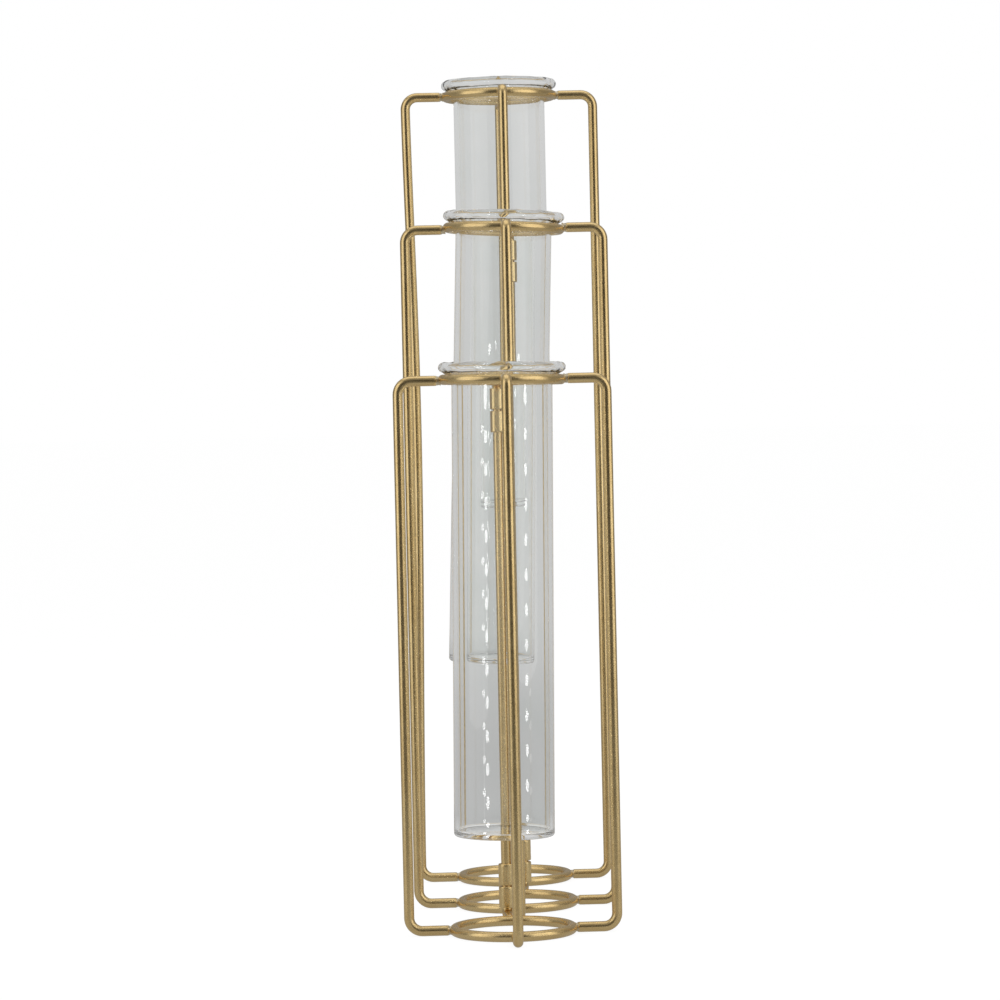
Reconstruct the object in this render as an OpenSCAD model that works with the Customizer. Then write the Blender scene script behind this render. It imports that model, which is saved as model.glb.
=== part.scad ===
// Beaker vase: three glass tubes hang in three wire frames of rising height.
// The frames stand one behind another and are joined by two upright hinges.
// Millimetres, +Z up. The origin is on the floor, under the middle of the whole vase.

/* [Wire] */
// Diameter of the round wire that every ring and upright is bent from
wire_d = 4; // [3:0.1:5]

/* [Frames] */
// Height of the short frame, from the floor to the top of its wire
short_h = 218.6; // [205:0.1:240]
// Height of the middle frame, from the floor to the top of its wire
middle_h = 281.3; // [250:0.1:300]
// Height of the tall frame, from the floor to the top of its wire
tall_h = 343; // [310:0.1:380]
// Gap between each tube and the ring that it hangs in
ring_gap = 1.3; // [1:0.1:3]
// Length of an upright's level arms, from the middle of a ring's wire to the middle of the upright
arm_l = 17.7; // [15:0.1:25]
// Bend radius of the left and right uprights, to the middle of the wire
side_bend_r = 5.2; // [3:0.1:8]
// Bend radius of the front and back uprights, to the middle of the wire
hinge_bend_r = 3; // [2.6:0.1:5]

/* [Welds] */
// Gap between the outside of a ring and the squared end of an arm, which the weld fills
weld_gap = 0.7; // [0.4:0.1:1.5]
// How far the weld reaches into the ring's side, past its outside
weld_root = 1.2; // [0.8:0.1:1.4]
// How much smaller in radius than the wire the weld's two ends are
weld_end_in = 0.2; // [0.1:0.05:0.3]
// How much smaller in radius than the wire the weld's waist is
weld_waist_in = 0.5; // [0.35:0.05:0.7]
// Chamfer round the squared ends of the arms
arm_chamfer = 0.3; // [0.2:0.05:0.5]

/* [Hinges] */
// Wall of the hinge sleeves
sleeve_wall = 1.1; // [0.8:0.1:1.5]
// Height of each hinge sleeve
sleeve_h = 8.6; // [6:0.1:12]
// Gap between the fixed sleeve and the turning sleeve beside it
sleeve_gap = 0.5; // [0.3:0.1:1.5]
// Chamfer on the outer edges of the sleeves
sleeve_chamfer = 0.4; // [0.2:0.1:0.6]
// Running clearance around the wire inside a turning sleeve
turning_clearance = 0.05; // [0.02:0.01:0.1]
// Gap between the sleeves and the next frame's upright, which the hinge welds bridge
hinge_gap = 0.3; // [0.2:0.05:0.6]
// Width of the hinge welds
hinge_weld_w = 2.2; // [1.5:0.1:3]

/* [Glass tubes] */
// Outer diameter of the tubes
tube_d = 39.4; // [36:0.1:40]
// Wall of the tubes
tube_wall = 1.5; // [1:0.1:2]
// Overall length of the tubes, from the flat base to the top of the rim
tube_l = 185; // [120:1:190]
// Thickness of the base
tube_base = 2; // [1.5:0.1:4]
// Radius of the outer corner round the base
base_corner_r = 3; // [2.5:0.1:5]
// Radius of the inner corner round the base
inner_corner_r = 1.5; // [1:0.1:3]
// How far the rim reaches out past the middle of the ring's wire
rim_reach = 2; // [1.5:0.1:3]
// Diameter of the rolled bead along the rim
bead_d = 3.8; // [3.2:0.1:4.5]
// Rise of the flare under the rim, in degrees from level
flare_angle = 33; // [25:1:45]
// Radius where the wall turns out into the flare, on the outside
flare_r = 3; // [2.6:0.1:4]
// Gap between the flare and the ring that it hangs in
seat_gap = 0.3; // [0.2:0.05:0.5]

/* [How the frames stand] */
// Turn of the short frame about the upright axis, in degrees
short_turn = 2.6; // [-5:0.1:5]
// Turn of the middle frame about the upright axis, in degrees
middle_turn = 1.6; // [-5:0.1:5]
// Turn of the tall frame about the upright axis, in degrees
tall_turn = 2.5; // [-5:0.1:5]
// How far round its ring the short frame's back upright is welded off square, in degrees
short_back_off = 1; // [-6:0.1:6]
// How far round its ring the middle frame's back upright is welded off square, in degrees
middle_back_off = -5.5; // [-8:0.1:6]
// How far round its ring the tall frame's back upright is welded off square, in degrees
tall_back_off = -2.3; // [-6:0.1:6]
// How far the foot of the short frame's tube leans to the left, with its ring, in degrees
short_lean = 0.9; // [-1:0.1:2.4]
// How far the foot of the middle frame's tube leans to the left, with its ring, in degrees
middle_lean = 2.1; // [-1:0.1:2.4]
// How far the foot of the tall frame's tube leans to the left, with its ring, in degrees
tall_lean = 0; // [-1:0.1:2.4]
// Bearing from the front hinge to the middle frame's front upright, in degrees from +X
front_hinge_bearing = 0; // [-10:1:60]
// Bearing from the rear hinge to the tall frame's front upright, in degrees from +X
rear_hinge_bearing = 111.5; // [60:0.5:150]

/* [Hidden] */
$fn = 96;

BRASS = [0.74, 0.6, 0.36];
WELD = [0.66, 0.56, 0.38];
GLASS = [0.85, 0.9, 0.9, 0.35];

// The frames, and the sides of a frame as quarter turns from +X
SHORT = 0;
MIDDLE = 1;
TALL = 2;
FRAMES = [SHORT, MIDDLE, TALL];
RIGHT = 0;
BACK = 1;
LEFT = 2;
FRONT = 3;
SIDES = [RIGHT, BACK, LEFT, FRONT];

frame_h = [short_h, middle_h, tall_h];
frame_turn = [short_turn, middle_turn, tall_turn];
back_off = [short_back_off, middle_back_off, tall_back_off];
lean = [short_lean, middle_lean, tall_lean];
hinge_bearing = [front_hinge_bearing, rear_hinge_bearing];

wire_r = wire_d / 2;
tube_r = tube_d / 2;
ring_r = tube_r + ring_gap + wire_r;
reach = ring_r + arm_l;
rim_r = ring_r + rim_reach;
bead_r = bead_d / 2;
floor_z = wire_r;
sleeve_r = wire_r + turning_clearance + sleeve_wall;
hinge_offset = sleeve_r + hinge_gap + wire_r;
arc_steps = 8;
bead_steps = 28;

function ring_z(f) = frame_h[f] - wire_r;
function polar(r, a) = [r * cos(a), r * sin(a)];
function arc(c, r, from, to, steps) =
    [for (k = [0:steps]) c + polar(r, from + (to - from) * k / steps)];

// Bearing of an upright seen from its ring's centre
function bearing(f, side) = frame_turn[f] + 90 * side + (side == BACK ? back_off[f] : 0);

// Places on the floor plan, first with the short frame's ring at the centre
function plan_hinge(f) = plan_centre(f) + polar(reach, bearing(f, BACK));
function plan_centre(f) = f == SHORT
    ? [0, 0]
    : plan_hinge(f - 1) + polar(hinge_offset, hinge_bearing[f - 1]) - polar(reach, bearing(f, FRONT));

// The box round the whole vase is set by the outermost uprights
plan_x = [for (f = FRAMES, s = SIDES) (plan_centre(f) + polar(reach, bearing(f, s))).x];
plan_y = [for (f = FRAMES, s = SIDES) (plan_centre(f) + polar(reach, bearing(f, s))).y];
plan_middle = [(min(plan_x) + max(plan_x)) / 2, (min(plan_y) + max(plan_y)) / 2];

function centre(f) = plan_centre(f) - plan_middle;
function hinge_xy(h) = plan_hinge(h) - plan_middle;

// Heights of a hinge's sleeves on the upright that carries them
function sleeves_top(h) = ring_z(h) - hinge_bend_r;
sleeves_bottom = floor_z + hinge_bend_r;
sleeve_step = sleeve_h + sleeve_gap;

// The flare under the rim lies along a slope that clears the ring's wire.
// Its profile is drawn from the ring's centre, with z = 0 at the middle of the ring's wire.
slope = polar(1, flare_angle);
up_slope = polar(1, flare_angle + 90);
seat = [ring_r, 0] + (wire_r + seat_gap) * up_slope;
flare_x = tube_r + flare_r;
flare_z = seat.y + ((flare_x - seat.x) * slope.y - flare_r) / slope.x;
bead_x = rim_r - bead_r;
bead_z = seat.y + ((bead_x - seat.x) * slope.y + bead_r) / slope.x;
bead_turn = asin((bead_r - tube_wall) / bead_r);
base_z = bead_z + bead_r - tube_l;
tube_inner_r = tube_r - tube_wall;

tube_profile = concat(
    [[0, base_z]],
    arc([tube_r - base_corner_r, base_z + base_corner_r], base_corner_r, -90, 0, arc_steps),
    arc([flare_x, flare_z], flare_r, 180, flare_angle + 90, arc_steps),
    arc([bead_x, bead_z], bead_r, flare_angle - 90, flare_angle + 180 + bead_turn, bead_steps),
    arc([flare_x, flare_z], flare_r + tube_wall, flare_angle + 90, 180, arc_steps),
    arc([tube_inner_r - inner_corner_r, base_z + tube_base + inner_corner_r],
        inner_corner_r, 0, -90, arc_steps),
    [[0, base_z + tube_base]]
);

// An arm starts clear of its ring, and the weld between them narrows to a waist.
// Both profiles run out along the arm, from the middle of the ring's wire.
arm_start = wire_r + weld_gap;
weld_start = wire_r - weld_root;
weld_end_r = wire_r - weld_end_in;
weld_waist_r = wire_r - weld_waist_in;
weld_profile = [
    [0, weld_start],
    [weld_end_r, weld_start],
    [weld_waist_r, wire_r],
    [weld_end_r, arm_start],
    [0, arm_start]
];
function arm_profile(end) = [
    [0, arm_start],
    [wire_r - arm_chamfer, arm_start],
    [wire_r, arm_start + arm_chamfer],
    [wire_r, end],
    [0, end]
];

// A frame's middle on the floor, turned to one of its sides
module at_side(f, side) {
    translate(centre(f))
        rotate(bearing(f, side))
            children();
}

// The middle of a frame's top ring, leaning as the ring and its tube do
module at_top_ring(f) {
    translate([centre(f).x, centre(f).y, ring_z(f)])
        rotate([0, lean[f], 0])
            children();
}

module at_bottom_ring(f) {
    translate([centre(f).x, centre(f).y, floor_z])
        children();
}

// A torus of wire round the Z axis
module wire_ring() {
    rotate_extrude()
        translate([ring_r, 0])
            circle(wire_r);
}

module top_ring(f) {
    color(BRASS)
        at_top_ring(f)
            wire_ring();
}

module bottom_ring(f) {
    color(BRASS)
        at_bottom_ring(f)
            wire_ring();
}

// A quarter bend of wire about the point given, in the plane of the upright and its arms
module quarter_bend(x, z, r, start) {
    translate([x, 0, z])
        rotate([90, 0, 0])
            rotate_extrude(angle = 90, start = start)
                translate([r, 0])
                    circle(wire_r);
}

// A profile turned about a level line along +X, at height z, that starts at the middle of the ring's wire.
// The turn begins that many degrees round from straight down.
module turned(profile, z, begins) {
    translate([ring_r, 0, z])
        rotate([0, 90, 0])
            rotate(begins)
                rotate_extrude()
                    polygon(profile);
}

// One upright: an arm from the top ring, a bend, a straight run, a bend and an arm to the bottom ring
module upright(f, side) {
    bend_r = side == LEFT || side == RIGHT ? side_bend_r : hinge_bend_r;
    bend_x = reach - bend_r;
    arm = arm_profile(bend_x - ring_r);
    low = floor_z + bend_r;
    high = ring_z(f) - bend_r;
    color(BRASS)
        at_side(f, side) {
            turned(arm, ring_z(f), 0);
            quarter_bend(bend_x, high, bend_r, 0);
            translate([reach, 0, low])
                cylinder(r = wire_r, h = high - low);
            quarter_bend(bend_x, low, bend_r, -90);
            turned(arm, floor_z, 0);
        }
}

// A straight length of wire in line with a ring where one side's arm meets it
module ring_line(f, side) {
    rotate(bearing(f, side))
        translate([ring_r, 0, 0])
            rotate([90, 180, 0])
                cylinder(r = wire_r, h = 2 * wire_d, center = true);
}

// The welds of one frame, from the end of each arm to the side of the ring
module welds(f) {
    color(WELD)
        for (side = SIDES) {
            difference() {
                at_side(f, side)
                    turned(weld_profile, ring_z(f), 45);
                at_top_ring(f)
                    ring_line(f, side);
            }
            difference() {
                at_side(f, side)
                    turned(weld_profile, floor_z, 45);
                at_bottom_ring(f)
                    ring_line(f, side);
            }
        }
}

module tube(f) {
    color(GLASS)
        at_top_ring(f)
            rotate_extrude()
                polygon(tube_profile);
}

// A hinge sleeve that stands on z, round the upright at hinge h
module sleeve(h, z, bore_r) {
    color(BRASS)
        translate([hinge_xy(h).x, hinge_xy(h).y, z])
            rotate_extrude()
                polygon([
                    [bore_r, 0],
                    [sleeve_r - sleeve_chamfer, 0],
                    [sleeve_r, sleeve_chamfer],
                    [sleeve_r, sleeve_h - sleeve_chamfer],
                    [sleeve_r - sleeve_chamfer, sleeve_h],
                    [bore_r, sleeve_h]
                ]);
}

module top_fixed_sleeve(h) {
    sleeve(h, sleeves_top(h) - sleeve_h, wire_r);
}

module top_turning_sleeve(h) {
    sleeve(h, sleeves_top(h) - sleeve_h - sleeve_step, wire_r + turning_clearance);
}

module bottom_turning_sleeve(h) {
    sleeve(h, sleeves_bottom + sleeve_step, wire_r + turning_clearance);
}

module bottom_fixed_sleeve(h) {
    sleeve(h, sleeves_bottom, wire_r);
}

// A weld that joins a turning sleeve, standing on z, to the next frame's front upright
module hinge_weld(z) {
    difference() {
        translate([0, -hinge_weld_w / 2, z + sleeve_chamfer])
            cube([hinge_offset, hinge_weld_w, sleeve_h - 2 * sleeve_chamfer]);
        translate([0, 0, z])
            cylinder(r = sleeve_r, h = sleeve_h);
        translate([hinge_offset, 0, z])
            cylinder(r = wire_r, h = sleeve_h);
    }
}

module hinge_welds(h) {
    color(WELD)
        translate(hinge_xy(h))
            rotate(hinge_bearing[h]) {
                hinge_weld(sleeves_top(h) - sleeve_h - sleeve_step);
                hinge_weld(sleeves_bottom + sleeve_step);
            }
}

top_ring(SHORT);  // short_top_ring
bottom_ring(SHORT);  // short_bottom_ring
upright(SHORT, FRONT);  // short_front_upright
upright(SHORT, BACK);  // short_back_upright
upright(SHORT, LEFT);  // short_left_upright
upright(SHORT, RIGHT);  // short_right_upright
welds(SHORT);  // short_welds
tube(SHORT);  // short_tube
top_ring(MIDDLE);  // middle_top_ring
bottom_ring(MIDDLE);  // middle_bottom_ring
upright(MIDDLE, FRONT);  // middle_front_upright
upright(MIDDLE, BACK);  // middle_back_upright
upright(MIDDLE, LEFT);  // middle_left_upright
upright(MIDDLE, RIGHT);  // middle_right_upright
welds(MIDDLE);  // middle_welds
tube(MIDDLE);  // middle_tube
top_ring(TALL);  // tall_top_ring
bottom_ring(TALL);  // tall_bottom_ring
upright(TALL, FRONT);  // tall_front_upright
upright(TALL, BACK);  // tall_back_upright
upright(TALL, LEFT);  // tall_left_upright
upright(TALL, RIGHT);  // tall_right_upright
welds(TALL);  // tall_welds
tube(TALL);  // tall_tube
top_fixed_sleeve(SHORT);  // front_hinge_top_fixed_sleeve
top_turning_sleeve(SHORT);  // front_hinge_top_turning_sleeve
bottom_turning_sleeve(SHORT);  // front_hinge_bottom_turning_sleeve
bottom_fixed_sleeve(SHORT);  // front_hinge_bottom_fixed_sleeve
hinge_welds(SHORT);  // front_hinge_welds
top_fixed_sleeve(MIDDLE);  // rear_hinge_top_fixed_sleeve
top_turning_sleeve(MIDDLE);  // rear_hinge_top_turning_sleeve
bottom_turning_sleeve(MIDDLE);  // rear_hinge_bottom_turning_sleeve
bottom_fixed_sleeve(MIDDLE);  // rear_hinge_bottom_fixed_sleeve
hinge_welds(MIDDLE);  // rear_hinge_welds
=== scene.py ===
"""Beaker vase: three glass tubes that hang in three hinged wire frames of rising height.

Sizes are in millimetres in the model's own frame, with +Z up, +Y away from the camera and the
origin on the floor under the middle of the vase. Meshes are made in metres.
"""

import logging
import math
from dataclasses import dataclass
from enum import Enum, IntEnum
from typing import Any, Callable, ClassVar, Sequence

import bmesh
import bpy
from bmesh.types import BMesh, BMVert
from bpy.types import ID, Material, Mesh, Node, NodeSocket, NodeTree, Object
from mathutils import Matrix, Vector, noise


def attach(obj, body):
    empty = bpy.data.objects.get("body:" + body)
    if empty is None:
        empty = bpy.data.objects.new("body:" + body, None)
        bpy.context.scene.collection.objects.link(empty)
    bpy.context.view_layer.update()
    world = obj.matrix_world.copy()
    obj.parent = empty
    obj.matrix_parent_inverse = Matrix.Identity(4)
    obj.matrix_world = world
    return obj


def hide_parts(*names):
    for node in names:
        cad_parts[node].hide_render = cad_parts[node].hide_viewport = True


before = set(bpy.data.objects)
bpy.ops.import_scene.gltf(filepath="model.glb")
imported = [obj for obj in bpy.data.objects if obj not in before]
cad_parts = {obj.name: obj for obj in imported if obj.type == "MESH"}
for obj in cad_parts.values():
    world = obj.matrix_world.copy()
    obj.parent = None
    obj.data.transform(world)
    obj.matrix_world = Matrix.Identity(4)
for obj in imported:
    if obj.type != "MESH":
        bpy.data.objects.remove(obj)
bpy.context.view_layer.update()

LOG = logging.getLogger("beaker_vase")
MM = 0.001

Colour = tuple[float, float, float, float]
Plan2 = tuple[float, float]
Span = tuple[float, float]
Place = tuple[float, float, float]

WHITE: Colour = (1.0, 1.0, 1.0, 1.0)
UP = Vector((0.0, 0.0, 1.0))
ON_AXIS = 1e-6


class Counted(IntEnum):
    """A number with a name."""

    @property
    def word(self) -> str:
        """The name as the solids write it."""
        return self.name.lower()


class Which(Counted):
    """The three frames, from front to back."""

    SHORT = 0
    MIDDLE = 1
    TALL = 2


class Side(Counted):
    """The four uprights of a frame, in quarter turns from +X."""

    RIGHT = 0
    BACK = 1
    LEFT = 2
    FRONT = 3


class Slot(Enum):
    """The material slots of the record."""

    WIRE = "wire"
    WELD = "weld"
    GLASS = "glass"


@dataclass(frozen=True)
class Sizes:
    """The driving sizes of the solids, in millimetres or degrees."""

    wire_r: float = 2.0
    heights: tuple[float, ...] = (218.6, 281.3, 343.0)
    turns: tuple[float, ...] = (2.6, 1.6, 2.5)
    back_offs: tuple[float, ...] = (1.0, -5.5, -2.3)
    leans: tuple[float, ...] = (0.9, 2.1, 0.0)
    hinge_bearings: tuple[float, ...] = (0.0, 111.5)
    tube_r: float = 19.7
    ring_gap: float = 1.3
    arm_l: float = 17.7
    side_bend_r: float = 5.2
    hinge_bend_r: float = 3.0
    weld_gap: float = 0.7
    sleeve_wall: float = 1.1
    sleeve_h: float = 8.6
    sleeve_gap: float = 0.5
    turning_clearance: float = 0.05
    hinge_gap: float = 0.3

    @property
    def ring_r(self) -> float:
        """Radius of a ring, to the middle of its wire."""
        return self.tube_r + self.ring_gap + self.wire_r

    @property
    def reach(self) -> float:
        """Distance from a ring's centre to the middle of its uprights."""
        return self.ring_r + self.arm_l

    @property
    def sleeve_r(self) -> float:
        """Outer radius of a hinge sleeve."""
        return self.wire_r + self.turning_clearance + self.sleeve_wall

    @property
    def hinge_offset(self) -> float:
        """Distance from a hinge's axis to the next frame's front upright."""
        return self.sleeve_r + self.hinge_gap + self.wire_r


def polar(radius: float, degrees: float) -> Plan2:
    """The plan point at a radius and a bearing in degrees."""
    angle = math.radians(degrees)
    return radius * math.cos(angle), radius * math.sin(angle)


def added(*points: Plan2) -> Plan2:
    """The sum of plan points."""
    return sum(p[0] for p in points), sum(p[1] for p in points)


@dataclass(frozen=True)
class FloorPlan:
    """Where the frames and the hinges stand on the floor."""

    sizes: Sizes

    def bearing(self, which: Which, side: Side) -> float:
        """Bearing of an upright seen from its ring's centre, in degrees."""
        off = self.sizes.back_offs[which] if side is Side.BACK else 0.0
        return self.sizes.turns[which] + 90.0 * side + off

    def first_centre(self, which: Which) -> Plan2:
        """A ring's centre, with the short frame's ring at the origin."""
        if which is Which.SHORT:
            return 0.0, 0.0
        hinge = self.first_upright(Which(which - 1), Side.BACK)
        across = polar(self.sizes.hinge_offset, self.sizes.hinge_bearings[which - 1])
        back = polar(-self.sizes.reach, self.bearing(which, Side.FRONT))
        return added(hinge, across, back)

    def first_upright(self, which: Which, side: Side) -> Plan2:
        """An upright's middle, with the short frame's ring at the origin."""
        return added(self.first_centre(which), polar(self.sizes.reach, self.bearing(which, side)))

    def shift(self) -> Plan2:
        """The move that puts the middle of the vase's box over the origin."""
        across, along = zip(*(self.first_upright(which, side) for which in Which for side in Side))
        return -(min(across) + max(across)) / 2, -(min(along) + max(along)) / 2

    def centre(self, which: Which) -> Plan2:
        """A ring's centre in the model's frame."""
        return added(self.first_centre(which), self.shift())

    def hinge(self, which: Which) -> Plan2:
        """The axis of the hinge behind a frame, in the model's frame."""
        return added(self.first_upright(which, Side.BACK), self.shift())

    def ring_z(self, which: Which) -> float:
        """Height of the middle of a top ring's wire."""
        return self.sizes.heights[which] - self.sizes.wire_r

    def ring_place(self, which: Which, top: bool) -> Matrix:
        """Where the middle of a ring is. Top rings lean as their tubes do."""
        across, along = self.centre(which)
        if not top:
            return Matrix.Translation((across, along, self.sizes.wire_r))
        lean = Matrix.Rotation(math.radians(self.sizes.leans[which]), 4, "Y")
        return Matrix.Translation((across, along, self.ring_z(which))) @ lean


# Meshes


def new_mesh(name: str, build: BMesh, sharp: float = 40.0) -> Mesh:
    """Write a bmesh to a smooth-shaded mesh and free it.

    Args:
        name: Name of the mesh.
        build: The bmesh, in metres.
        sharp: Edges that turn by more than this many degrees stay sharp.

    Returns:
        The new mesh.
    """
    bmesh.ops.recalc_face_normals(build, faces=build.faces)
    for face in build.faces:
        face.smooth = True
    mesh = bpy.data.meshes.new(name)
    build.to_mesh(mesh)
    build.free()
    mesh.set_sharp_from_angle(angle=math.radians(sharp))
    return mesh


def linked(name: str, data: ID) -> Object:
    """Put a mesh, a lamp or a camera in the scene as an object."""
    made = bpy.data.objects.new(name, data)
    bpy.context.scene.collection.objects.link(made)
    return made


@dataclass(frozen=True)
class WireRun:
    """A run of round wire, swept along its middle line.

    Its map holds the way round the wire, from 0 to 1, and the way along it in metres.
    """

    points: Sequence[Vector]
    radii: Sequence[float]
    across: Vector
    closed: bool = False
    sides: int = 36

    def tangent(self, index: int) -> Vector:
        """Direction of the middle line at one of its points."""
        count = len(self.points)
        if self.closed:
            ahead, behind = self.points[(index + 1) % count], self.points[index - 1]
        else:
            ahead, behind = self.points[min(index + 1, count - 1)], self.points[max(index - 1, 0)]
        return (ahead - behind).normalized()

    def mesh(self, name: str) -> Mesh:
        """Sweep the wire.

        Args:
            name: Name of the mesh.

        Returns:
            The mesh, in metres, with its map in the layer "wire".
        """
        build = bmesh.new()
        layer = build.loops.layers.uv.new("wire")
        loops: list[list[BMVert]] = []
        for index, (point, radius) in enumerate(zip(self.points, self.radii)):
            out = self.across.cross(self.tangent(index)).normalized()
            ways = (
                math.cos(turn) * out + math.sin(turn) * self.across
                for turn in (2 * math.pi * k / self.sides for k in range(self.sides))
            )
            loops.append([build.verts.new((point + radius * way) * MM) for way in ways])
        count, start = len(loops), 0.0
        for index in range(count if self.closed else count - 1):
            after = (index + 1) % count
            step = (self.points[after] - self.points[index]).length
            end = start + (step + abs(self.radii[after] - self.radii[index])) * MM
            low, high = loops[index], loops[after]
            for k in range(self.sides):
                nxt = (k + 1) % self.sides
                face = build.faces.new((low[k], low[nxt], high[nxt], high[k]))
                corners = ((k, start), (k + 1, start), (k + 1, end), (k, end))
                for loop, (turn, way) in zip(face.loops, corners):
                    loop[layer].uv = (turn / self.sides, way)
            start = end
        if not self.closed:
            for cap, way in ((loops[0], 0.0), (loops[-1], start)):
                face = build.faces.new(cap)
                for k, loop in enumerate(face.loops):
                    loop[layer].uv = (k / self.sides, way)
        return new_mesh(name, build)


def turned_mesh(
    name: str,
    profile: Sequence[Plan2],
    place: Matrix,
    segments: int,
    shape: Callable[[Vector, float], Vector],
    sharp: float = 40.0,
) -> Mesh:
    """Turn a profile about its Z axis and move it into place.

    Args:
        name: Name of the mesh.
        profile: Points of radius and height, in millimetres. Points on the axis become one vertex.
        place: Where the axis stands, as a matrix in millimetres.
        segments: Steps round the axis.
        shape: Moves a point, given with its angle in radians, before it is placed.
        sharp: Edges that turn by more than this many degrees stay sharp.

    Returns:
        The mesh, in metres, with its map in the layer "wire".
    """
    build = bmesh.new()
    layer = build.loops.layers.uv.new("wire")
    closed = profile[0][0] > ON_AXIS and profile[-1][0] > ON_AXIS
    rings: list[list[BMVert]] = []
    for radius, height in profile:
        steps = segments if radius > ON_AXIS else 1
        ring = []
        for k in range(steps):
            turn = 2 * math.pi * k / segments
            point = Vector((radius * math.cos(turn), radius * math.sin(turn), height))
            ring.append(build.verts.new((place @ shape(point, turn)) * MM))
        rings.append(ring)
    start = 0.0
    for index in range(len(rings) if closed else len(rings) - 1):
        after = (index + 1) % len(rings)
        low, high = rings[index], rings[after]
        end = start + math.dist(profile[index], profile[after]) * MM
        for k in range(segments):
            corners: dict[BMVert, Plan2] = {}
            for ring, way, turns in ((low, start, (k, k + 1)), (high, end, (k + 1, k))):
                for turn in turns:
                    corners.setdefault(ring[turn % len(ring)], (turn / segments, way))
            if len(corners) > 2:
                face = build.faces.new(list(corners))
                for loop, uv in zip(face.loops, corners.values()):
                    loop[layer].uv = uv
        start = end
    return new_mesh(name, build, sharp)


def joined(name: str, meshes: Sequence[Mesh]) -> Mesh:
    """Join meshes into one new mesh and remove them."""
    build = bmesh.new()
    for mesh in meshes:
        build.from_mesh(mesh)
    whole = bpy.data.meshes.new(name)
    build.to_mesh(whole)
    build.free()
    for mesh in meshes:
        bpy.data.meshes.remove(mesh)
    return whole


def swollen(point: Vector, share: float) -> Vector:
    """A point moved out from the Z axis, or in toward it, by a share of its distance."""
    return Vector((point.x * share, point.y * share, point.z))


def piece(name: str, mesh: Mesh, material: Material, body: str, node: str) -> None:
    """Put a mesh in the scene as the dressed form of one solid.

    Args:
        name: Name of the piece.
        mesh: Its mesh, in the model's frame.
        material: Its material.
        body: The body that it moves with.
        node: The solid's node that it stands for.
    """
    made = linked(name, mesh)
    mesh.materials.append(material)
    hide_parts(node)
    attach(made, body)
    LOG.info("%s: %d faces, on %s", name, len(mesh.polygons), body)


# Shader nodes


@dataclass
class Graph:
    """A node tree that is filled by short calls."""

    tree: NodeTree

    def node(
        self, kind: str, settings: dict[str, Any] | None = None, **inputs: Any
    ) -> Node:
        """Add a node.

        Args:
            kind: The node's type name, without "ShaderNode".
            settings: Attributes to set on the node.
            **inputs: Values or sockets for its inputs, by name with underscores for spaces, or as
                "i0", "i1" by number.

        Returns:
            The new node.
        """
        made = self.tree.nodes.new("ShaderNode" + kind)
        for key, value in (settings or {}).items():
            setattr(made, key, value)
        for key, value in inputs.items():
            numbered = key[0] == "i" and key[1:].isdigit()
            self.feed(made.inputs[int(key[1:]) if numbered else key.replace("_", " ")], value)
        return made

    def feed(self, socket: NodeSocket, value: Any) -> None:
        """Link a socket to an input, or set the input's own value."""
        if isinstance(value, NodeSocket):
            self.tree.links.new(value, socket)
        else:
            socket.default_value = value

    def maths(self, operation: str, a: Any, b: Any = 0.0) -> NodeSocket:
        """One step of arithmetic on values."""
        return self.node("Math", {"operation": operation}, i0=a, i1=b).outputs[0]

    def times(self, a: Any, b: Any) -> NodeSocket:
        """Two values multiplied."""
        return self.maths("MULTIPLY", a, b)

    def plus(self, a: Any, b: Any) -> NodeSocket:
        """Two values added."""
        return self.maths("ADD", a, b)

    def ramp(
        self, value: Any, low: Any, high: Any, to_low: float = 0.0, to_high: float = 1.0
    ) -> NodeSocket:
        """A value carried smoothly from one span to another."""
        smooth = {"interpolation_type": "SMOOTHSTEP"}
        spans = {"From_Min": low, "From_Max": high, "To_Min": to_low, "To_Max": to_high}
        return self.node("MapRange", smooth, Value=value, **spans).outputs[0]

    def blend(self, share: Any, a: Any, b: Any) -> NodeSocket:
        """Two colours mixed."""
        return self.node("Mix", {"data_type": "RGBA"}, i0=share, i6=a, i7=b).outputs[2]

    def ray(self, kind: str) -> NodeSocket:
        """1 for a ray of some kind, such as "Glossy", and 0 for others."""
        return self.node("LightPath").outputs[f"Is {kind} Ray"]

    def mixed(self, share: Any, a: Any, b: Any) -> NodeSocket:
        """Two shaders mixed."""
        return self.node("MixShader", i0=share, i1=a, i2=b).outputs[0]

    def white(self, kind: str, strength: Any) -> NodeSocket:
        """A white emission or background of some strength."""
        return self.node(kind, Color=WHITE, Strength=strength).outputs[0]

    def noise(self, vector: Any, scale: Any, detail: float, rough: float) -> NodeSocket:
        """Smooth noise from 0 to 1."""
        made = self.node("TexNoise", Vector=vector, Scale=scale, Detail=detail, Roughness=rough)
        return made.outputs[0]


def fresh_graph(owner: ID) -> Graph:
    """Give a material, a lamp or the world an empty node tree to fill."""
    owner.use_nodes = True
    owner.node_tree.nodes.clear()
    return Graph(owner.node_tree)


def shared_group(
    name: str, inputs: dict[str, float], fill: Callable[[Graph, Any], dict[str, NodeSocket]]
) -> NodeTree:
    """Make a shader group with named values in and out.

    Args:
        name: Name of the group.
        inputs: Its inputs and their usual values.
        fill: Adds the nodes, given the sockets of the inputs, and returns the outputs by name.

    Returns:
        The finished group.
    """
    tree = bpy.data.node_groups.new(name, "ShaderNodeTree")
    for key, value in inputs.items():
        made = tree.interface.new_socket(name=key, in_out="INPUT", socket_type="NodeSocketFloat")
        made.default_value = value
    graph = Graph(tree)
    outputs = fill(graph, tree.nodes.new("NodeGroupInput").outputs)
    for key in outputs:
        tree.interface.new_socket(name=key, in_out="OUTPUT", socket_type="NodeSocketFloat")
    last = tree.nodes.new("NodeGroupOutput")
    for key, value in outputs.items():
        graph.feed(last.inputs[key], value)
    return tree


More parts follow.
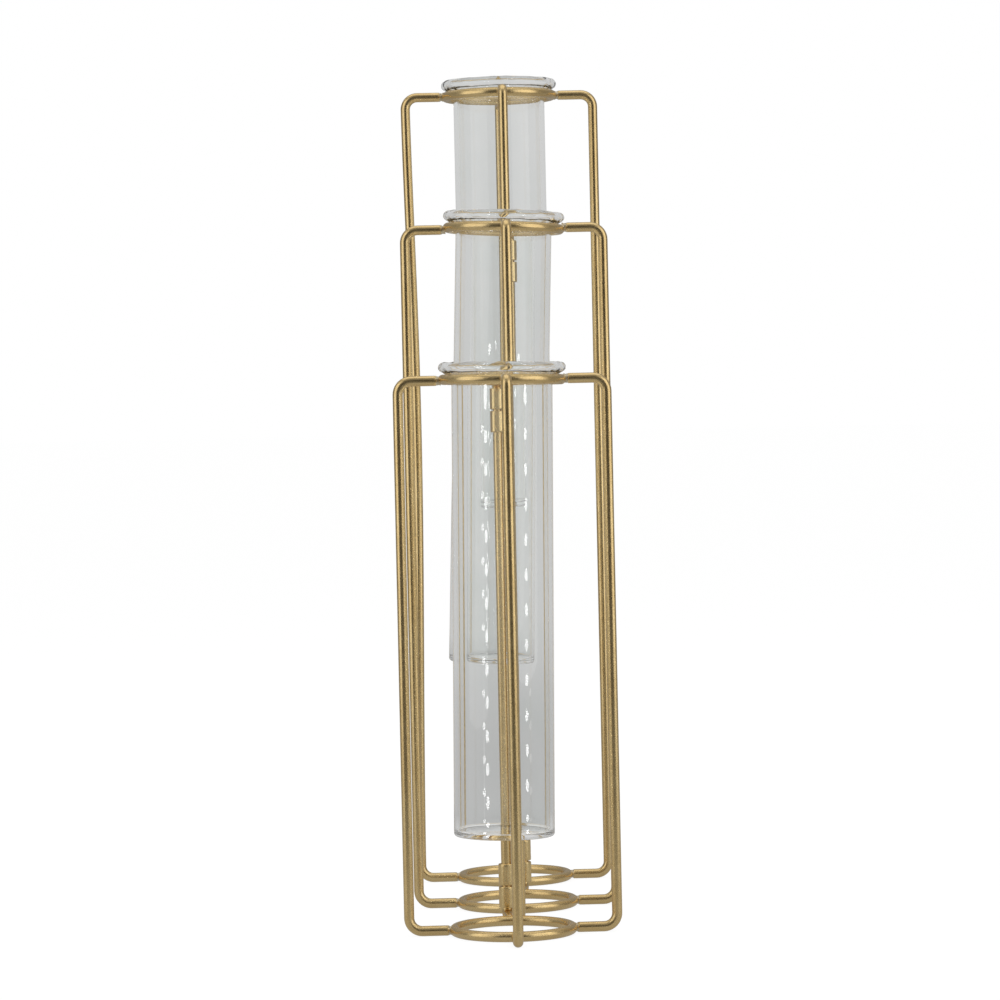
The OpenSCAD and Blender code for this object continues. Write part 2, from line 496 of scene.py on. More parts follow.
class SurfaceGroups:
    """The shader groups that the finishes share, built once."""

    def __init__(self) -> None:
        """Build every group."""
        self.grain = shared_group(
            "drawn wire grain",
            {"Stretch": 0.12, "Fineness": 3200.0, "Streak Size": 260.0},
            self.fill_grain,
        )
        self.freckles = shared_group(
            "lacquer freckles", {"Size": 900.0, "Low": 0.0, "High": 0.3}, self.fill_freckles
        )
        self.ripple = shared_group(
            "blown glass ripple", {"Drawn Out": 0.015, "Size": 110.0}, self.fill_ripple
        )

    @staticmethod
    def fill_grain(graph: Graph, given: Any) -> dict[str, NodeSocket]:
        """Grain and streaks that run along the wire, from its map."""
        uv = graph.node("UVMap", {"uv_map": "wire"}).outputs[0]
        split = graph.node("SeparateXYZ", Vector=uv).outputs
        radius = Sizes.wire_r * MM
        turn = graph.times(split[0], 2 * math.pi)
        around_x = graph.times(graph.maths("COSINE", turn), radius)
        around_y = graph.times(graph.maths("SINE", turn), radius)
        along = graph.times(split[1], given["Stretch"])
        drawn = graph.node("CombineXYZ", X=around_x, Y=around_y, Z=along).outputs[0]
        fine = graph.noise(drawn, given["Fineness"], detail=3.0, rough=0.6)
        wide = graph.noise(drawn, given["Streak Size"], detail=4.0, rough=0.65)
        plain = graph.node("CombineXYZ", X=around_x, Y=around_y, Z=split[1]).outputs[0]
        patch = graph.noise(plain, scale=90.0, detail=4.0, rough=0.6)
        streaks, patches = graph.ramp(wide, 0.35, 0.68), graph.ramp(patch, 0.35, 0.7)
        return {"Grain": fine, "Streaks": streaks, "Patches": patches}

    @staticmethod
    def fill_freckles(graph: Graph, given: Any) -> dict[str, NodeSocket]:
        """Freckles that thicken between two heights, and fine dust."""
        where = graph.node("TexCoord").outputs["Object"]
        height = graph.node("SeparateXYZ", Vector=where).outputs[2]
        spots = graph.noise(where, given["Size"], detail=2.0, rough=0.7)
        share = graph.ramp(height, given["Low"], given["High"], to_low=1.0, to_high=0.25)
        mask = graph.times(graph.ramp(spots, 0.56, 0.70), share)
        return {"Mask": mask, "Dust": graph.noise(where, scale=4200.0, detail=2.0, rough=0.7)}

    @staticmethod
    def fill_ripple(graph: Graph, given: Any) -> dict[str, NodeSocket]:
        """Slow waves drawn out along a tube, and faint clouding."""
        where = graph.node("TexCoord").outputs["Object"]
        split = graph.node("SeparateXYZ", Vector=where).outputs
        along = graph.times(split[2], given["Drawn Out"])
        drawn = graph.node("CombineXYZ", X=split[0], Y=split[1], Z=along).outputs[0]
        wave = graph.noise(drawn, given["Size"], detail=1.0, rough=0.4)
        cloud = graph.noise(where, scale=35.0, detail=4.0, rough=0.6)
        return {"Height": wave, "Cloud": graph.ramp(cloud, 0.4, 0.75)}


@dataclass(frozen=True)
class BrassFinish:
    """Antique gold lacquer over drawn steel wire."""

    name: str
    light: Colour = (0.84, 0.64, 0.32, 1.0)
    warm: Colour = (0.76, 0.55, 0.25, 1.0)
    brown: Colour = (0.40, 0.26, 0.09, 1.0)
    pale: Colour = (0.95, 0.80, 0.53, 1.0)
    roughness: Span = (0.23, 0.31)
    bump: float = 0.5
    grain_height: float = 0.000004
    dust_height: float = 0.5
    patch_share: float = 0.14
    bright_share: float = 0.3
    freckle: float = 0.14
    freckle_roughness: float = 0.12
    coat: float = 0.1
    coat_roughness: float = 0.25

    def material(self, groups: SurfaceGroups) -> Material:
        """Build the finish.

        Args:
            groups: The shared shader groups.

        Returns:
            The material.
        """
        made = bpy.data.materials.new(self.name)
        graph = fresh_graph(made)
        grain = graph.node("Group", {"node_tree": groups.grain}).outputs
        spots = graph.node("Group", {"node_tree": groups.freckles}).outputs
        patch = graph.times(grain["Patches"], self.patch_share)
        fleck = graph.times(spots["Mask"], self.freckle)
        bright = graph.ramp(grain["Grain"], low=0.58, high=0.78, to_high=self.bright_share)
        tone = graph.blend(grain["Streaks"], self.warm, self.light)
        for share, over in ((patch, self.brown), (fleck, self.brown), (bright, self.pale)):
            tone = graph.blend(share, tone, over)
        rough = graph.ramp(grain["Grain"], 0.3, 0.7, *self.roughness)
        rough = graph.plus(rough, graph.times(spots["Mask"], self.freckle_roughness))
        dust = graph.times(spots["Dust"], self.dust_height)
        height = graph.plus(grain["Grain"], dust)
        bump = graph.node("Bump", Strength=self.bump, Distance=self.grain_height, Height=height)
        shader = graph.node(
            "BsdfPrincipled", Base_Color=tone, Metallic=1.0, Roughness=rough,
            Normal=bump.outputs[0], Coat_Weight=self.coat, Coat_Roughness=self.coat_roughness,
        )
        graph.node("OutputMaterial", Surface=shader.outputs[0])
        return made


@dataclass(frozen=True)
class GlassFinish:
    """Clear blown glass with a faint grey-green cast."""

    name: str
    clear: Colour = (0.985, 0.99, 0.985, 1.0)
    cloudy: Colour = (0.95, 0.965, 0.955, 1.0)
    shadow: Colour = (0.93, 0.94, 0.935, 1.0)
    ior: float = 1.47
    bump: float = 0.35
    ripple: float = 0.0001

    def material(self, groups: SurfaceGroups) -> Material:
        """Build the glass from the shared groups. It casts a pale shadow."""
        made = bpy.data.materials.new(self.name)
        graph = fresh_graph(made)
        wave = graph.node("Group", {"node_tree": groups.ripple}).outputs
        tone = graph.blend(wave["Cloud"], self.clear, self.cloudy)
        height = wave["Height"]
        bump = graph.node("Bump", Strength=self.bump, Distance=self.ripple, Height=height)
        shader = graph.node(
            "BsdfPrincipled", Base_Color=tone, Roughness=0.0, Normal=bump.outputs[0], IOR=self.ior,
            Transmission_Weight=1.0,
        )
        through = graph.node("BsdfTransparent", Color=self.shadow)
        both = graph.mixed(graph.ray("Shadow"), shader.outputs[0], through.outputs[0])
        graph.node("OutputMaterial", Surface=both)
        return made


# The vase


@dataclass(frozen=True)
class WireFrame:
    """One frame: two rings, four uprights and the welds between them."""

    which: Which
    plan: FloorPlan
    brass: Material
    weld: Material
    bottom_start: float = 2.15
    neck_start: float = 0.9
    neck_overlap: float = 0.15
    foot_overlap: float = 0.3
    neck_r: float = 1.78
    neck_steps: int = 14
    waist: float = 0.12
    lump: float = 0.14
    lump_rate: float = 1.7
    lump_length: float = 0.8
    lump_inset: float = 0.02
    ring_steps: int = 120
    bend_steps: int = 10
    arm_steps: int = 4
    upright_steps: int = 60
    # Steps in from an arm's end, each with how much thinner the wire is there
    top_ends: ClassVar[tuple[Plan2, ...]] = ((0.0, 0.7), (0.03, 0.16), (0.25, 0.02), (1.0, 0.0))
    foot_ends: ClassVar[tuple[Plan2, ...]] = (
        (1.2, 0.0), (0.6, 0.0), (0.25, 0.12), (0.06, 0.35), (0.0, 0.8),
    )
    # How far an upright bows inward, and the bow's form
    bows: ClassVar[dict[tuple[Which, Side], float]] = {(Which.TALL, Side.LEFT): 2.1}
    bow_skew: float = 1.2
    bow_power: float = 1.5

    @property
    def body(self) -> str:
        """The body that the frame is."""
        return f"{self.which.word}_frame"

    def outward(self, side: Side) -> Vector:
        """Level direction from the ring's centre to an upright."""
        return Vector((*polar(1.0, self.plan.bearing(self.which, side)), 0.0))

    def ring(self, end: str) -> None:
        """Bend the "top" or the "bottom" ring."""
        sizes, steps = self.plan.sizes, self.ring_steps
        place = self.plan.ring_place(self.which, top=end == "top")
        start = self.plan.bearing(self.which, Side.BACK)
        bearings = (start + 360 * k / steps for k in range(steps))
        points = [place @ Vector((*polar(sizes.ring_r, bearing), 0.0)) for bearing in bearings]
        axis = (place.to_3x3() @ UP).normalized()
        name, node = (f"{self.which.word}_{end}_{last}" for last in ("hoop", "ring"))
        run = WireRun(points, [sizes.wire_r] * steps, axis, closed=True)
        piece(name, run.mesh(name), self.brass, self.body, node)

    def upright_line(self, side: Side) -> tuple[list[Vector], list[float]]:
        """The middle line of an upright and the wire's radius at each of its points.

        Args:
            side: Which upright.

        Returns:
            The points in millimetres, and the radii.
        """
        sizes = self.plan.sizes
        bend_r = sizes.side_bend_r if side in (Side.LEFT, Side.RIGHT) else sizes.hinge_bend_r
        bend = sizes.reach - bend_r
        top, floor = self.plan.ring_z(self.which), sizes.wire_r
        high, low = top - bend_r, floor + bend_r
        start = sizes.ring_r + sizes.wire_r + sizes.weld_gap
        foot = sizes.ring_r + self.bottom_start
        arm, sole = start + self.top_ends[-1][0], foot + self.foot_ends[0][0]
        steps, runs, turn = self.arm_steps, self.upright_steps, 90 / self.bend_steps
        turns = range(self.bend_steps + 1)
        flat: list[Plan2] = [(start + x, top) for x, _ in self.top_ends]
        flat += [(arm + (bend - arm) * k / steps, top) for k in range(1, steps)]
        flat += [added((bend, high), polar(bend_r, 90 - turn * k)) for k in turns]
        flat += [(sizes.reach, high + (low - high) * k / runs) for k in range(1, runs)]
        flat += [added((bend, low), polar(bend_r, -turn * k)) for k in turns]
        flat += [(bend + (sole - bend) * k / steps, floor) for k in range(1, steps)]
        radii = [sizes.wire_r - less for _, less in self.top_ends]
        radii += [sizes.wire_r] * (len(flat) - len(radii))
        flat += [(foot + x, floor) for x, _ in self.foot_ends]
        radii += [sizes.wire_r - less for _, less in self.foot_ends]
        across, along = self.plan.centre(self.which)
        out = self.outward(side)
        bow = self.bows.get((self.which, side), 0.0)
        points = []
        for d, z in flat:
            share = min(max((z - floor) / (top - floor), 0.0), 1.0)
            inward = bow * math.sin(math.pi * share**self.bow_skew) ** self.bow_power
            points.append(Vector((across, along, z)) + (d - inward) * out)
        return points, radii

    def upright(self, side: Side) -> None:
        """Bend one upright with its two arms."""
        points, radii = self.upright_line(side)
        across = UP.cross(self.outward(side)).normalized()
        name, node = (f"{self.which.word}_{side.word}_{end}" for end in ("wire", "upright"))
        run = WireRun(points, radii, across)
        piece(name, run.mesh(name), self.brass, self.body, node)

    def neck(self, side: Side, height: float, reach: float, seed: float) -> Mesh:
        """One weld between an arm's end and a ring.

        Args:
            side: Which arm.
            height: Height of the arm.
            reach: Distance from the middle of the ring's wire to the arm's end.
            seed: Moves the weld's lumps.

        Returns:
            The mesh.
        """
        sizes, steps = self.plan.sizes, self.neck_steps
        first, last = self.neck_start, reach + self.neck_overlap
        profile: list[Plan2] = [(0.0, first)]
        for k in range(steps + 1):
            share = k / steps
            waist = self.waist * math.cos(2 * math.pi * share)
            profile.append((self.neck_r + waist, first + (last - first) * share))
        profile.append((0.0, last))

        def lumps(point: Vector, turn: float) -> Vector:
            """Push a point of the weld out or in by noise, never past the wire."""
            where = Vector((math.cos(turn), math.sin(turn), point.z * self.lump_length))
            push = self.lump * noise.noise((where + Vector((seed, 0.0, seed))) * self.lump_rate)
            widest = (sizes.wire_r - self.lump_inset) / max(math.hypot(point.x, point.y), ON_AXIS)
            return swollen(point, min(1.0 + push, widest))

        across, along = self.plan.centre(self.which)
        out = self.outward(side)
        origin = Vector((across, along, height)) + sizes.ring_r * out
        place = Matrix.Translation(origin) @ out.to_track_quat("Z", "Y").to_matrix().to_4x4()
        return turned_mesh("neck", profile, place, 2 * steps, lumps)

    def necks(self) -> None:
        """The eight welds of the frame as one piece."""
        sizes = self.plan.sizes
        meshes = []
        for side in Side:
            seed = 3.0 * side + 17.0 * self.which
            top = self.plan.ring_z(self.which)
            meshes.append(self.neck(side, top, sizes.wire_r + sizes.weld_gap, seed))
            foot = self.bottom_start + self.foot_overlap
            meshes.append(self.neck(side, sizes.wire_r, foot, seed + 1.3))
        name, node = (f"{self.which.word}_{last}" for last in ("weld_necks", "welds"))
        piece(name, joined(name, meshes), self.weld, self.body, node)

    def build(self) -> None:
        """Make every piece of the frame."""
        self.ring("top")
        self.ring("bottom")
        for side in Side:
            self.upright(side)
        self.necks()


@dataclass(frozen=True)
class GlassTube:
    """One blown tube with a flat base and a thick rolled rim, hung in its frame's top ring."""

    which: Which
    plan: FloorPlan
    glass: Material
    wall: float = 1.5
    length: float = 185.0
    base: float = 2.0
    base_corner_r: float = 1.3
    inner_corner_r: float = 1.0
    rim_reach: float = 2.0
    bead_r: float = 1.9
    flare_angle: float = 33.0
    flare_r: float = 3.0
    seat_gap: float = 0.3
    rim_wave: float = 0.5
    rim_squeeze: float = 0.006
    wave_rates: tuple[float, ...] = (1.3, 3.4, 7.0)
    wave_from: float = 0.5
    wave_rise: float = 4.0
    swing: float = 0.4
    wall_steps: int = 24
    segments: int = 160

    def profile(self) -> list[Plan2]:
        """The outline from the base's middle over the rim to the inside, from the ring's middle."""
        sizes = self.plan.sizes
        slope, up_slope = polar(1.0, self.flare_angle), polar(1.0, self.flare_angle + 90)
        off_wire = sizes.wire_r + self.seat_gap
        seat = added((sizes.ring_r, 0.0), tuple(x * off_wire for x in up_slope))
        flare_x = sizes.tube_r + self.flare_r
        flare_z = seat[1] + ((flare_x - seat[0]) * slope[1] - self.flare_r) / slope[0]
        bead_x = sizes.ring_r + self.rim_reach - self.bead_r
        bead_z = seat[1] + ((bead_x - seat[0]) * slope[1] + self.bead_r) / slope[0]
        bead_turn = math.degrees(math.asin((self.bead_r - self.wall) / self.bead_r))
        base_z = bead_z + self.bead_r - self.length
        inner = sizes.tube_r - self.wall

        def arc(centre: Plan2, radius: float, start: float, end: float, steps: int) -> list[Plan2]:
            """Points along an arc, in degrees."""
            turns = (start + (end - start) * k / steps for k in range(steps + 1))
            return [added(centre, polar(radius, turn)) for turn in turns]

        corner = (sizes.tube_r - self.base_corner_r, base_z + self.base_corner_r)
        inside = (inner - self.inner_corner_r, base_z + self.base + self.inner_corner_r)
        flare, bead, angle = (flare_x, flare_z), (bead_x, bead_z), self.flare_angle
        rise, fall, steps = flare_z - corner[1], inside[1] - flare_z, self.wall_steps
        outer_wall = [(sizes.tube_r, corner[1] + rise * k / steps) for k in range(1, steps)]
        inner_wall = [(inner, flare_z + fall * k / steps) for k in range(1, steps)]
        return [
            (0.0, base_z),
            *arc(corner, self.base_corner_r, -90, 0, steps=12),
            *outer_wall,
            *arc(flare, self.flare_r, 180, angle + 90, steps=10),
            *arc(bead, self.bead_r, angle - 90, angle + 180 + bead_turn, steps=30),
            *arc(flare, self.flare_r + self.wall, angle + 90, 180, steps=12),
            *inner_wall,
            *arc(inside, self.inner_corner_r, 0, -90, steps=8),
            (0.0, base_z + self.base),
        ]

    def wavy(self, point: Vector, turn: float) -> Vector:
        """Make the rim a little uneven, always inward and down.

        Args:
            point: A point of the tube, from the ring's middle.
            turn: Its angle round the axis, in radians.

        Returns:
            The moved point.
        """
        share = min(max((point.z - self.wave_from) / self.wave_rise, 0.0), 1.0)
        seed, swing = 9.0 * self.which, self.swing
        cos, sin = math.cos(turn), math.sin(turn)
        low, mid, high = ((rate * cos, rate * sin) for rate in self.wave_rates)
        slow = noise.noise(Vector((low[0] + seed, low[1], 0.0)))
        quick = noise.noise(Vector((*mid, seed)))
        fine = noise.noise(Vector((*high, seed + point.z * 0.4)))
        drop = self.rim_wave * share * (0.5 + swing * slow + swing * quick + swing * fine)
        inward = 1.0 - self.rim_squeeze * share * (0.5 + 0.5 * quick)
        return Vector((point.x * inward, point.y * inward, point.z - max(drop, 0.0)))

    def build(self) -> None:
        """Blow the tube."""
        place = self.plan.ring_place(self.which, top=True)
        name, body, node = (f"{self.which.word}_{last}" for last in ("beaker", "glass", "tube"))
        mesh = turned_mesh(name, self.profile(), place, self.segments, self.wavy, sharp=80.0)
        piece(name, mesh, self.glass, body, node)


@dataclass(frozen=True)
class Hinge:
    """One hinge: a fixed and a turning sleeve at each end, and the welds to the next upright."""

    which: Which
    plan: FloorPlan
    brass: Material
    weld: Material
    edge_r: float = 0.45
    edge_steps: int = 6
    lip: float = 0.05
    bore_gap: float = 0.03
    dent: float = 0.10
    dent_rate: float = 1.4
    dent_length: float = 0.25
    segments: int = 48
    weld_w: float = 2.2
    weld_inset: float = 0.4
    weld_steps: int = 16
    weld_segments: int = 20
    round_rate: float = 3.0
    round_end: float = 0.25
    lump: float = 0.18
    lump_length: float = 0.9

    @property
    def word(self) -> str:
        """The hinge's name as the solids write it."""
        return "front" if self.which is Which.SHORT else "rear"

    def sleeve(self, part: str, bottom: float, body: str, seed: float) -> None:
        """Roll one sleeve from sheet.

        Args:
            part: The sleeve's name within the hinge.
            bottom: Height of its lower end.
            body: The body that it moves with.
            seed: Moves its small dents.
        """
        sizes = self.plan.sizes
        inner, outer, tall = sizes.wire_r + self.bore_gap, sizes.sleeve_r, sizes.sleeve_h
        edge, steps = self.edge_r, self.edge_steps
        turns = [90 / steps * k for k in range(steps + 1)]
        profile: list[Plan2] = [(inner, self.lip)]
        profile += [added((outer - edge, edge), polar(edge, turn - 90)) for turn in turns]
        profile += [(outer, edge + (tall - 2 * edge) * k / steps) for k in range(1, steps)]
        profile += [added((outer - edge, tall - edge), polar(edge, turn)) for turn in turns]
        profile += [(inner, tall - self.lip)]

        def dented(point: Vector, turn: float) -> Vector:
            """Press the sleeve in a little by noise."""
            where = Vector((math.cos(turn) + seed, math.sin(turn), point.z * self.dent_length))
            press = self.dent * max(0.0, noise.noise(where * self.dent_rate))
            radius = math.hypot(point.x, point.y)
            outside = radius > (inner + outer) / 2
            return swollen(point, (radius - press) / radius) if outside else point

        across, along = self.plan.hinge(self.which)
        place = Matrix.Translation((across, along, bottom))
        name = f"{self.word}_hinge_{part}_band"
        mesh = turned_mesh(name, profile, place, self.segments, dented, sharp=50.0)
        piece(name, mesh, self.brass, body, f"{self.word}_hinge_{part}_sleeve")

    def bead(self, bottom: float) -> Mesh:
        """One lumpy weld to the next upright, from a turning sleeve whose lower end is given."""
        sizes, steps = self.plan.sizes, self.weld_steps
        tall = sizes.sleeve_h - 2 * self.weld_inset
        profile: list[Plan2] = [(0.0, 0.0)]
        for k in range(steps + 1):
            share = k / steps
            swell = math.sin(math.pi * min(share, 1 - share)) * self.round_rate + self.round_end
            profile.append((self.weld_w / 2 * min(1.0, swell), tall * share))
        profile.append((0.0, tall))

        def lumps(point: Vector, turn: float) -> Vector:
            """Swell and pinch the weld along its height."""
            where = Vector((math.cos(turn), math.sin(turn), point.z * self.lump_length))
            return swollen(point, 1.0 + self.lump * noise.noise(where))

        across, along = self.plan.hinge(self.which)
        out = Vector((*polar(1.0, sizes.hinge_bearings[self.which]), 0.0))
        foot = Vector((across, along, bottom + self.weld_inset))
        middle = foot + (sizes.sleeve_r + sizes.hinge_gap / 2) * out
        place = Matrix.Translation(middle)
        return turned_mesh("bead", profile, place, self.weld_segments, lumps)

    def build(self) -> None:
        """Make every piece of the hinge."""
        sizes = self.plan.sizes
        carrier, swung = f"{self.which.word}_frame", f"{Which(self.which + 1).word}_frame"
        top = self.plan.ring_z(self.which) - sizes.hinge_bend_r - sizes.sleeve_h
        low = sizes.wire_r + sizes.hinge_bend_r
        step = sizes.sleeve_h + sizes.sleeve_gap
        self.sleeve("top_fixed", top, carrier, 1.0)
        self.sleeve("top_turning", top - step, swung, 2.0)
        self.sleeve("bottom_turning", low + step, swung, 3.0)
        self.sleeve("bottom_fixed", low, carrier, 4.0)
        name = f"{self.word}_hinge_beads"
        mesh = joined(name, [self.bead(top - step), self.bead(low + step)])
        piece(name, mesh, self.weld, swung, f"{self.word}_hinge_welds")


# The studio


@dataclass(frozen=True)
class Softbox:
    """A soft area lamp, in metres, that looks at the vase's middle. Glass mirrors it dimmed."""

    name: str
    place: Place
    width: float
    height: float
    radiance: float
    dimmed: float = 0.6
    aim_height: float = 0.17

    def build(self) -> None:
        """Hang the lamp, with its power from the brightness of its face."""
        data = bpy.data.lights.new(self.name, "AREA")
        data.shape = "RECTANGLE"
        data.size, data.size_y = self.width, self.height
        data.energy = self.radiance * math.pi * self.width * self.height
        graph = fresh_graph(data)
        share = graph.maths("SUBTRACT", 1.0, graph.times(graph.ray("Singular"), self.dimmed))
        graph.node("OutputLight", Surface=graph.white("Emission", share))
        made = linked(self.name, data)
        made.location = Vector(self.place)
        way = self.aim_height * UP - made.location
        made.rotation_mode = "QUATERNION"
        made.rotation_quaternion = way.to_track_quat("-Z", "Y")
        made.visible_camera = made.visible_transmission = False


@dataclass(frozen=True)
class LampStack:
    """A stack of narrow lamps, in metres, which the glass mirrors as a column of bright dots.

    It stands at a bearing in degrees from the short tube, measured from the front toward the left.
    """

    name: str
    bearing: float
    low: float
    step: float
    count: int
    width: float = 0.032
    tall: float = 0.006
    strength: float = 12.0
    distance: float = 0.25
    corners: int = 16
    tube_foot: ClassVar[Place] = (-0.0009, -0.0838, 0.0)

    def build(self) -> None:
        """Make the lamps as one stage object of ellipses that only clean mirrors show."""
        build = bmesh.new()
        away = Vector((*polar(1.0, -90.0 - self.bearing), 0.0))
        foot = Vector(self.tube_foot) + self.distance * away
        side, rise = UP.cross(away) * self.width / 2, self.tall / 2 * UP
        turns = [math.radians(360 / self.corners * n) for n in range(self.corners)]
        for k in range(self.count):
            middle = foot + (self.low + self.step * k) * UP
            edge = (middle + math.cos(turn) * side + math.sin(turn) * rise for turn in turns)
            build.faces.new([build.verts.new(point) for point in edge])
        made = linked(self.name, new_mesh(self.name, build))
        material = bpy.data.materials.new(self.name)
        graph = fresh_graph(material)
        glow = graph.white("Emission", graph.times(graph.ray("Singular"), self.strength))
        graph.node("OutputMaterial", Surface=glow)
        material.cycles.emission_sampling = "NONE"
        made.data.materials.append(material)
        made.visible_camera = made.visible_diffuse = False
        made.visible_shadow = made.visible_transmission = False


@dataclass(frozen=True)
class Studio:
    """Floor, world, lamps and camera.

    The seen levels are what shows through glass, and the shine levels are what surfaces mirror,
    among them a painted reflection of the side softboxes on the floor.
    """

    camera_place: Place = (3.298, -1529.54, 203.06)
    yaw: float = -0.0041
    pitch: float = 0.0231
    roll: float = -0.0214
    focal_pixels: float = 3709.8
    image_width: float = 1000.0
    sensor: float = 36.0
    clip: Span = (0.05, 100.0)
    bounces: int = 32
    floor_r: float = 40.0
    floor_grey: Colour = (0.85, 0.85, 0.85, 1.0)
    floor_white: float = 1.06
    direct_share: float = 0.85
    other_share: float = 0.9
    plain_level: float = 0.75
    seen_low: float = 0.42
    seen_level: float = 0.60
    seen_high: float = 0.66
    seen_front: float = 0.6
    seen_under: float = 0.35
    shine_front: float = 0.04
    shine_back: float = 0.28
    shine_near: float = 0.40
    # Level of the painted softbox reflection on the floor, in the bands at the vase's sides
    shine_beside: float = 0.34
    shine_above: float = 0.25
    shine_clean: float = 0.55
    # Where the levels change: in metres behind the vase or from it, or in ways from -1 to 1
    behind_span: Span = (-0.3, 2.2)
    under_span: Span = (-0.05, 0.25)
    close_span: Span = (0.2, 0.6)
    off_span: Span = (0.4, 0.9)
    far_span: Span = (1.2, 3.0)
    seen_ways: Span = (-0.9, -0.3)
    shine_ways: Span = (-0.9, 0.6)
    # Where the painted softbox reflection on the floor fades in and fades out, in ways from -1 to 1
    beside_from: Span = (-0.86, -0.70)
    softbox_reflection_to: Span = (-0.22, -0.05)
    low_ways: Span = (0.0, 0.1)
    above_ways: Span = (0.25, 0.9)

    def floor_seen(self, graph: Graph, behind: Any, far: Any, facing: Any) -> NodeSocket:
        """The floor's level through glass: low near the vase, and the world's far off."""
        level = graph.ramp(behind, *self.behind_span, self.seen_low, self.seen_level)
        under = graph.ramp(behind, *self.under_span, self.seen_under, 0.0)
        under = graph.times(under, graph.ramp(far, *self.off_span, 1.0, 0.0))
        near = graph.times(graph.plus(level, under), graph.ramp(far, *self.far_span, 1.0, 0.0))
        level = graph.plus(near, graph.ramp(far, *self.far_span, 0.0, self.seen_level))
        dark = graph.ramp(facing, *self.seen_ways, 1.0 - self.seen_front, 0.0)
        dark = graph.times(dark, graph.ramp(far, *self.off_span))
        return graph.times(level, graph.maths("SUBTRACT", 1.0, dark))

    def floor_shine(self, graph: Graph, far: Any, facing: Any) -> NodeSocket:
        """The floor's level in satin metal: pale near the vase, with a painted reflection of the
        side softboxes in bands to its left and right, and dark in front.
        """
        front = graph.ramp(facing, *self.shine_ways, self.shine_front, self.shine_back)
        # Painted reflection: a pale band of floor at each side stands in for the softboxes' light
        # mirrored off the floor
        softbox_reflection = graph.ramp(facing, *self.softbox_reflection_to, self.shine_beside, 0.0)
        softbox_reflection = graph.times(graph.ramp(facing, *self.beside_from), softbox_reflection)
        near = graph.ramp(far, *self.close_span, self.shine_near, 0.0)
        rest = graph.times(graph.ramp(far, *self.close_span), graph.plus(front, softbox_reflection))
        return graph.plus(near, rest)

    def mirrored(self, graph: Graph, level: Any) -> NodeSocket:
        """A level for satin metal, and the clean mirrors' own level for glass."""
        sharp = graph.ray("Singular")
        dull = graph.times(level, graph.maths("SUBTRACT", 1.0, sharp))
        return graph.plus(dull, graph.times(sharp, self.shine_clean))

    def floor(self) -> None:
        """A pale floor that is white to the camera and keeps the vase's shadow."""
        build = bmesh.new()
        bmesh.ops.create_circle(build, cap_ends=True, segments=96, radius=self.floor_r)
        made = linked("floor", new_mesh("floor", build))
        material = bpy.data.materials.new("pale floor")
        graph = fresh_graph(material)
        surface = graph.node("BsdfDiffuse", Color=self.floor_grey).outputs[0]
        where = graph.node("TexCoord").outputs["Object"]
        behind = graph.node("SeparateXYZ", Vector=where).outputs[1]
        far = graph.node("VectorMath", {"operation": "LENGTH"}, i0=where).outputs["Value"]
        facing = graph.maths("DIVIDE", behind, far)
        seen = self.floor_seen(graph, behind, far, facing)
        shine = self.mirrored(graph, self.floor_shine(graph, far, facing))
        for kind, share, level in (
            ("Glossy", self.other_share, shine),
            ("Transmission", self.other_share, seen),
            ("Camera", self.direct_share, self.floor_white),
        ):
            over = graph.times(graph.ray(kind), share)
            surface = graph.mixed(over, surface, graph.white("Emission", level))
        graph.node("OutputMaterial", Surface=surface)
        made.data.materials.append(material)

    def world(self) -> None:
        """White to the camera, pale grey through the glass, and darker in front for what shines."""
        world = bpy.data.worlds.new("studio")
        bpy.context.scene.world = world
        graph = fresh_graph(world)
        where = graph.node("TexCoord").outputs["Generated"]
        _, back, rise = graph.node("SeparateXYZ", Vector=where).outputs
        seen = graph.ramp(rise, *self.low_ways, self.seen_level, self.seen_high)
        seen = graph.times(seen, graph.ramp(back, *self.seen_ways, self.seen_front, 1.0))
        shine = graph.ramp(back, *self.shine_ways, self.shine_front, self.shine_back)
        shine = graph.plus(shine, graph.ramp(rise, *self.above_ways, 0.0, self.shine_above))
        shine = self.mirrored(graph, shine)
        surface = graph.white("Background", self.plain_level)
        for kind, level in (("Glossy", shine), ("Transmission", seen), ("Camera", 1.0)):
            surface = graph.mixed(graph.ray(kind), surface, graph.white("Background", level))
        graph.node("OutputWorld", Surface=surface)

    def camera(self) -> None:
        """The camera at the photograph's place, with its slight turn and roll."""
        sy, cy = math.sin(self.yaw), math.cos(self.yaw)
        sp, cp = math.sin(self.pitch), math.cos(self.pitch)
        ahead = Vector((sy * cp, cy * cp, -sp))
        right = Vector((cy, -sy, 0.0))
        above = right.cross(ahead)
        right_r = math.cos(self.roll) * right + math.sin(self.roll) * above
        above_r = -math.sin(self.roll) * right + math.cos(self.roll) * above
        data = bpy.data.cameras.new("camera")
        data.sensor_width = self.sensor
        data.lens = self.focal_pixels / self.image_width * self.sensor
        data.clip_start, data.clip_end = self.clip
        made = linked("camera", data)
        turn = Matrix((right_r, above_r, -ahead)).transposed().to_4x4()
        made.matrix_world = Matrix.Translation(Vector(self.camera_place) * MM) @ turn
        bpy.context.scene.camera = made

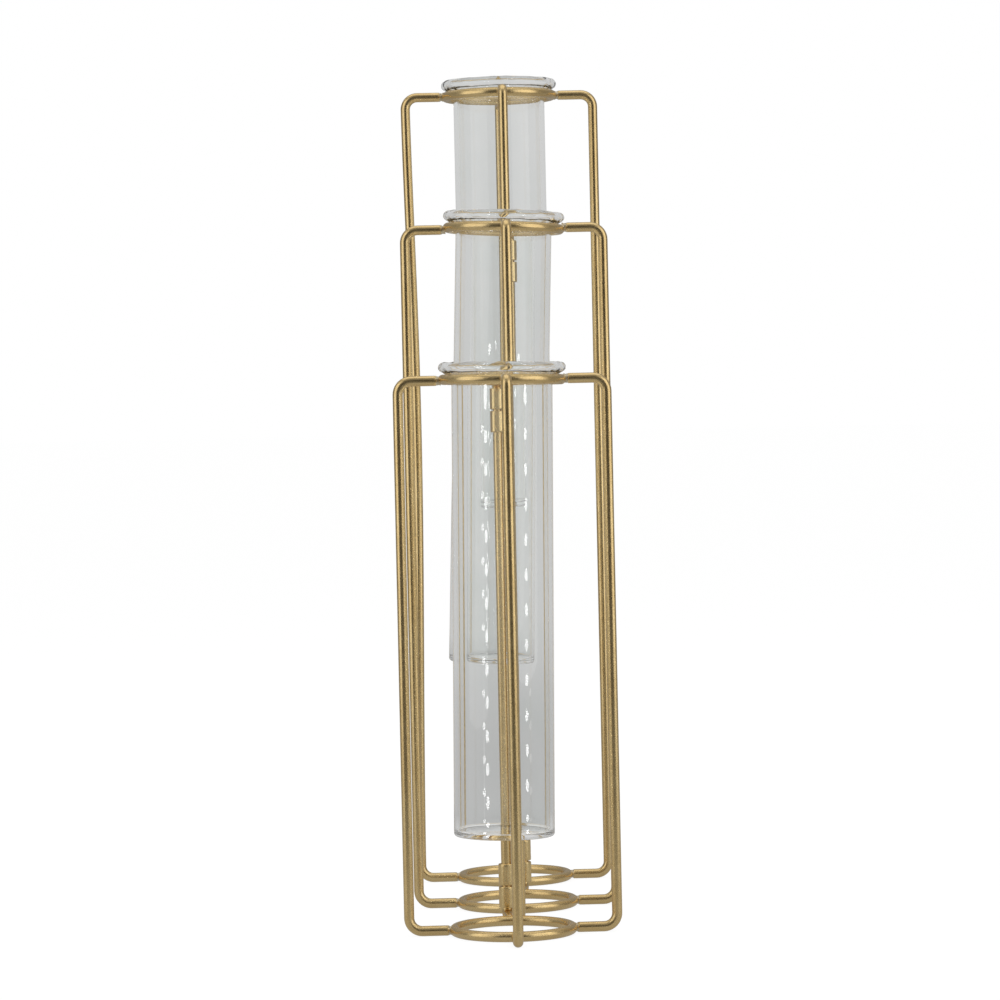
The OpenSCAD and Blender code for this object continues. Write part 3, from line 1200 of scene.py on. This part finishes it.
    def build(self) -> None:
        """Set up the whole studio."""
        self.camera()
        self.world()
        self.floor()
        for box in (
            Softbox("left softbox", (-0.95, -0.62, 0.4), 1.05, 1.7, 0.92),
            Softbox("right softbox", (0.95, -0.62, 0.4), 1.05, 1.7, 1.08),
            Softbox("top softbox", (0.0, 0.1, 1.5), 1.4, 1.2, 0.55),
        ):
            box.build()
            LOG.info("%s: %.1f by %.1f m", box.name, box.width, box.height)
        for stack in (
            LampStack("left lamps", 36.8, 0.0018, 0.0149, 17),
            LampStack("left small lamps", 44.4, 0.0069, 0.0148, 16, width=0.028, tall=0.004),
            LampStack("left strip", 44.4, 0.12, 0.0, 1, width=0.01, tall=0.23, strength=2.2),
            LampStack("left upper lamps", 38.0, 0.42, 0.075, 4, width=0.05, tall=0.04),
            LampStack("right upper lamps", -48.0, 0.42, 0.075, 4, width=0.05, tall=0.04),
            LampStack("right lamps", -52.1, 0.0015, 0.0158, 15),
            LampStack(
                "right faint lamps", -61.0, 0.0007, 0.0148, 16,
                width=0.026, tall=0.004, strength=2.5,
            ),
        ):
            stack.build()
            LOG.info("%s: %d lamps", stack.name, stack.count)
        scene = bpy.context.scene
        scene.view_settings.view_transform = "Standard"
        for kind in ("max", "transmission", "glossy", "transparent_max"):
            setattr(scene.cycles, f"{kind}_bounces", self.bounces)


def main() -> None:
    """Build the studio, the three frames, the tubes and the hinges, in that order."""
    logging.basicConfig(level=logging.INFO, format="%(message)s")
    Studio().build()
    plan = FloorPlan(Sizes())
    groups = SurfaceGroups()
    brass = BrassFinish("antique gold wire").material(groups)
    sleeve = BrassFinish(
        "antique gold sleeve", roughness=(0.19, 0.27), freckle=0.1
    ).material(groups)
    weld = BrassFinish(
        "gold over weld", light=(0.77, 0.67, 0.47, 1.0), warm=(0.64, 0.54, 0.37, 1.0),
        roughness=(0.34, 0.5), grain_height=0.00001, freckle=0.12, coat=0.05,
    ).material(groups)
    glass = GlassFinish("clear blown glass").material(groups)
    for which in Which:
        WireFrame(which, plan, brass, weld).build()
        GlassTube(which, plan, glass).build()
    for which in (Which.SHORT, Which.MIDDLE):
        Hinge(which, plan, sleeve, weld).build()


if __name__ == "__main__":
    main()
